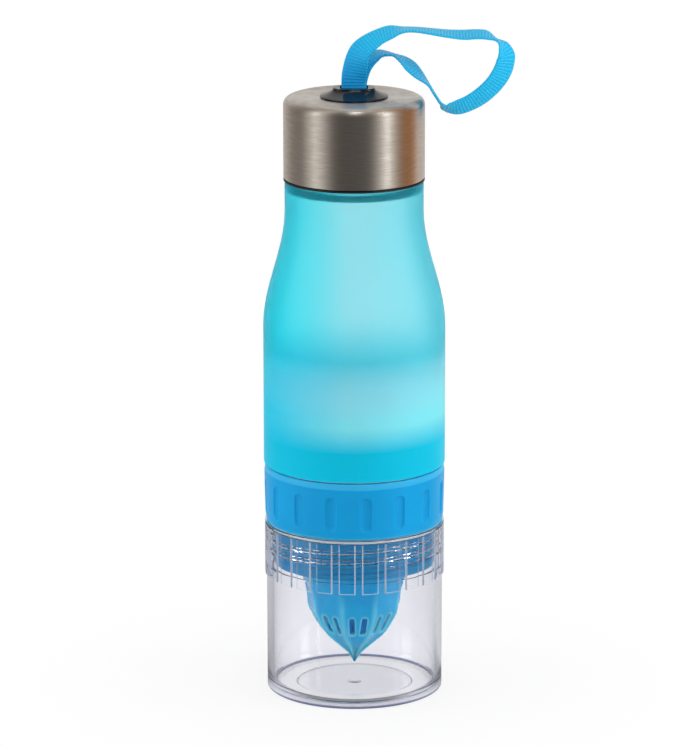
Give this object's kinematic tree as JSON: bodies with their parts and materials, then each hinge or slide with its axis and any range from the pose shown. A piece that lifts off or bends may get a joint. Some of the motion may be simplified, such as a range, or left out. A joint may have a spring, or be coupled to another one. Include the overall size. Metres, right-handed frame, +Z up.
{
  "type": "juicer water bottle",
  "caption": "Water bottle with a screw-on clear cup, a threaded collar carrying a citrus reamer, a frosted body, and a steel screw cap with a woven strap.",
  "frame": {"origin": "centre of the cup's foot, on the surface that the bottle stands on", "axes": "+Z up along the bottle's axis, from the cup to the cap; +X towards the side where the strap's loop hangs; -Y towards the picture's viewer"},
  "size_m": [0.1008, 0.0732, 0.2722],
  "materials": {
    "clear_plastic": "clear, polished",
    "silicone": "satin silicone",
    "blue_collar": "satin, slightly translucent",
    "blue_reamer": "glossy",
    "frosted_plastic": "frosted, translucent",
    "black_plastic": "satin",
    "brushed_steel": "brushed round the axis",
    "gloss_black": "glossy",
    "pin_steel": "plain drawn",
    "webbing": "ribbed woven nylon"
  },
  "bodies": {
    "cup": {"juice_cup": "clear_plastic"},
    "lower_seal": {"lower_gasket": "silicone"},
    "collar": {"grip_collar": "blue_collar", "reamer": "blue_reamer"},
    "upper_seal": {"upper_gasket": "silicone"},
    "bottle": {"bottle_body": "frosted_plastic"},
    "cap_seal": {"cap_gasket": "silicone"},
    "cap": {"cap_liner": "black_plastic", "cap_shell": "brushed_steel", "strap_boss": "gloss_black", "strap_pin": "pin_steel"},
    "strap_loop": {"strap": "webbing"}
  },
  "joints": [
    {"name": "collar_lift", "type": "slide", "parent": "cup", "child": "lower_seal", "axis": [0, 0, 1], "range_m": [0, 0.016]},
    {"name": "collar_turn", "type": "hinge", "parent": "lower_seal", "child": "collar", "pos_m": [0, 0, 0.0706], "axis": [0, 0, 1], "range_deg": [0, 720]},
    {"name": "bottle_lift", "type": "slide", "parent": "collar", "child": "upper_seal", "axis": [0, 0, 1], "range_m": [0, 0.016]},
    {"name": "bottle_turn", "type": "hinge", "parent": "upper_seal", "child": "bottle", "pos_m": [0, 0, 0.0946], "axis": [0, 0, 1], "range_deg": [0, 720]},
    {"name": "cap_lift", "type": "slide", "parent": "bottle", "child": "cap_seal", "axis": [0, 0, 1], "range_m": [0, 0.016]},
    {"name": "cap_turn", "type": "hinge", "parent": "cap_seal", "child": "cap", "pos_m": [0, 0, 0.2106], "axis": [0, 0, 1], "range_deg": [0, 720]},
    {"name": "strap_swing", "type": "hinge", "parent": "cap", "child": "strap_loop", "pos_m": [0, 0, 0.2424], "axis": [1, 0, 0], "range_deg": [-10, 10]}
  ],
  "couplings": [
    {"joint": "collar_lift", "follows": "collar_turn", "m_per_rad": 0.0012732},
    {"joint": "bottle_lift", "follows": "bottle_turn", "m_per_rad": 0.0012732},
    {"joint": "cap_lift", "follows": "cap_turn", "m_per_rad": 0.0012732}
  ]
}
